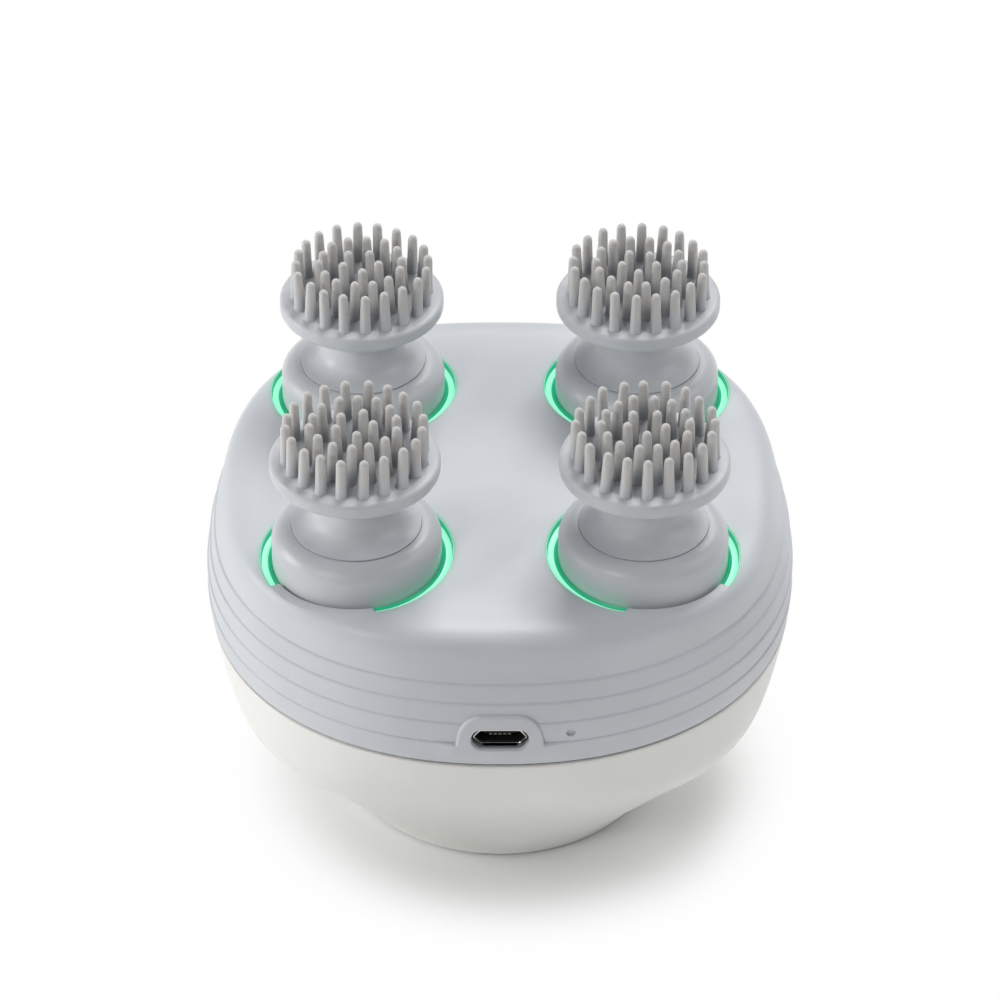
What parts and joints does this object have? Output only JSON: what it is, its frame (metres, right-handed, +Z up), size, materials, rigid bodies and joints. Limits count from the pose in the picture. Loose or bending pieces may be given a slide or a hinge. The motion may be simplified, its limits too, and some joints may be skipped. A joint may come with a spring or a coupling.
{
  "type": "electric scalp massager",
  "caption": "Hand-held electric scalp massager: rounded two-shell body on a round foot, turning bristle heads on pods with lit arcs, charging socket in a raised pad.",
  "frame": {"origin": "on the surface that it stands on, under the middle of the body", "axes": "+Z up out of the heads, charging socket facing -Y, +X to its right"},
  "size_m": [0.0848, 0.0852, 0.0762],
  "materials": {
    "shell_grey": "satin",
    "pod_grey": "satin",
    "silicone_grey": "matte",
    "ivory": "satin",
    "light_mint": "satin",
    "seal_rubber": "matte",
    "foot_rubber": "matte",
    "dark_plastic": "matte",
    "bronze": "satin",
    "steel": "satin",
    "plated_steel": "polished",
    "gear_plastic": "satin",
    "battery_wrap": "gloss",
    "board_green": "satin",
    "black_plastic": "satin",
    "clear_white": "gloss",
    "lead_red": "satin",
    "lead_white": "satin",
    "button_grey": "satin"
  },
  "bodies": {
    "casing": {"top_shell": "shell_grey", "lower_shell": "ivory", "shell_gasket": "seal_rubber", "foot_ring": "foot_rubber", "light_ring_1": "light_mint", "light_ring_2": "light_mint", "light_ring_3": "light_mint", "light_ring_4": "light_mint", "upper_plate": "dark_plastic", "lower_plate": "dark_plastic", "upper_bushes": "bronze", "lower_bushes": "bronze", "shaft_seals": "seal_rubber", "chassis_screws": "steel", "shell_screws": "steel", "base_screws": "steel", "gearbox_screws": "steel", "board_screws": "steel", "gearbox_case": "gear_plastic", "motor_can": "plated_steel", "motor_endcap": "dark_plastic", "battery_cell": "battery_wrap", "battery_cradle": "dark_plastic", "control_board": "board_green", "control_chips": "black_plastic", "led_board": "board_green", "status_leds": "clear_white", "charge_board": "board_green", "socket_shell": "plated_steel", "socket_tongue": "black_plastic", "indicator_pipe": "clear_white", "switch_board": "board_green", "switch_body": "plated_steel", "power_leads": "lead_red", "signal_leads": "lead_white"},
    "drive": {"output_shaft": "steel", "sun_gear": "gear_plastic"},
    "button": {"power_button": "button_grey", "switch_plunger": "black_plastic"},
    "turning_pod_1": {"spindle_1": "steel", "planet_gear_1": "gear_plastic", "pod_1": "pod_grey"},
    "bristle_head_1": {"head_core_1": "gear_plastic", "massage_head_1": "silicone_grey"},
    "turning_pod_2": {"spindle_2": "steel", "planet_gear_2": "gear_plastic", "pod_2": "pod_grey"},
    "bristle_head_2": {"head_core_2": "gear_plastic", "massage_head_2": "silicone_grey"},
    "turning_pod_3": {"spindle_3": "steel", "planet_gear_3": "gear_plastic", "pod_3": "pod_grey"},
    "bristle_head_3": {"head_core_3": "gear_plastic", "massage_head_3": "silicone_grey"},
    "turning_pod_4": {"spindle_4": "steel", "planet_gear_4": "gear_plastic", "pod_4": "pod_grey"},
    "bristle_head_4": {"head_core_4": "gear_plastic", "massage_head_4": "silicone_grey"}
  },
  "joints": [
    {"name": "drive_spin", "type": "hinge", "parent": "casing", "child": "drive", "pos_m": [0, 0, 0.04], "axis": [0, 0, 1], "continuous": true},
    {"name": "pod_1_spin", "type": "hinge", "parent": "casing", "child": "turning_pod_1", "pos_m": [0.02, 0.02, 0.055], "axis": [0, 0, 1], "continuous": true},
    {"name": "head_1_pull_off", "type": "slide", "parent": "turning_pod_1", "child": "bristle_head_1", "axis": [0, 0, 1], "range_m": [0, 0.01]},
    {"name": "pod_2_spin", "type": "hinge", "parent": "casing", "child": "turning_pod_2", "pos_m": [-0.02, 0.02, 0.055], "axis": [0, 0, 1], "continuous": true},
    {"name": "head_2_pull_off", "type": "slide", "parent": "turning_pod_2", "child": "bristle_head_2", "axis": [0, 0, 1], "range_m": [0, 0.01]},
    {"name": "pod_3_spin", "type": "hinge", "parent": "casing", "child": "turning_pod_3", "pos_m": [-0.02, -0.02, 0.055], "axis": [0, 0, 1], "continuous": true},
    {"name": "head_3_pull_off", "type": "slide", "parent": "turning_pod_3", "child": "bristle_head_3", "axis": [0, 0, 1], "range_m": [0, 0.01]},
    {"name": "pod_4_spin", "type": "hinge", "parent": "casing", "child": "turning_pod_4", "pos_m": [0.02, -0.02, 0.055], "axis": [0, 0, 1], "continuous": true},
    {"name": "head_4_pull_off", "type": "slide", "parent": "turning_pod_4", "child": "bristle_head_4", "axis": [0, 0, 1], "range_m": [0, 0.01]},
    {"name": "power_button_press", "type": "slide", "parent": "casing", "child": "button", "axis": [0, 0, 1], "range_m": [0, 0.0006], "stiffness_N_per_m": 600, "springref_m": -0.0005}
  ],
  "couplings": [
    {"joint": "pod_1_spin", "follows": "drive_spin", "ratio": -1.6364},
    {"joint": "pod_2_spin", "follows": "drive_spin", "ratio": -1.6364},
    {"joint": "pod_3_spin", "follows": "drive_spin", "ratio": -1.6364},
    {"joint": "pod_4_spin", "follows": "drive_spin", "ratio": -1.6364}
  ]
}
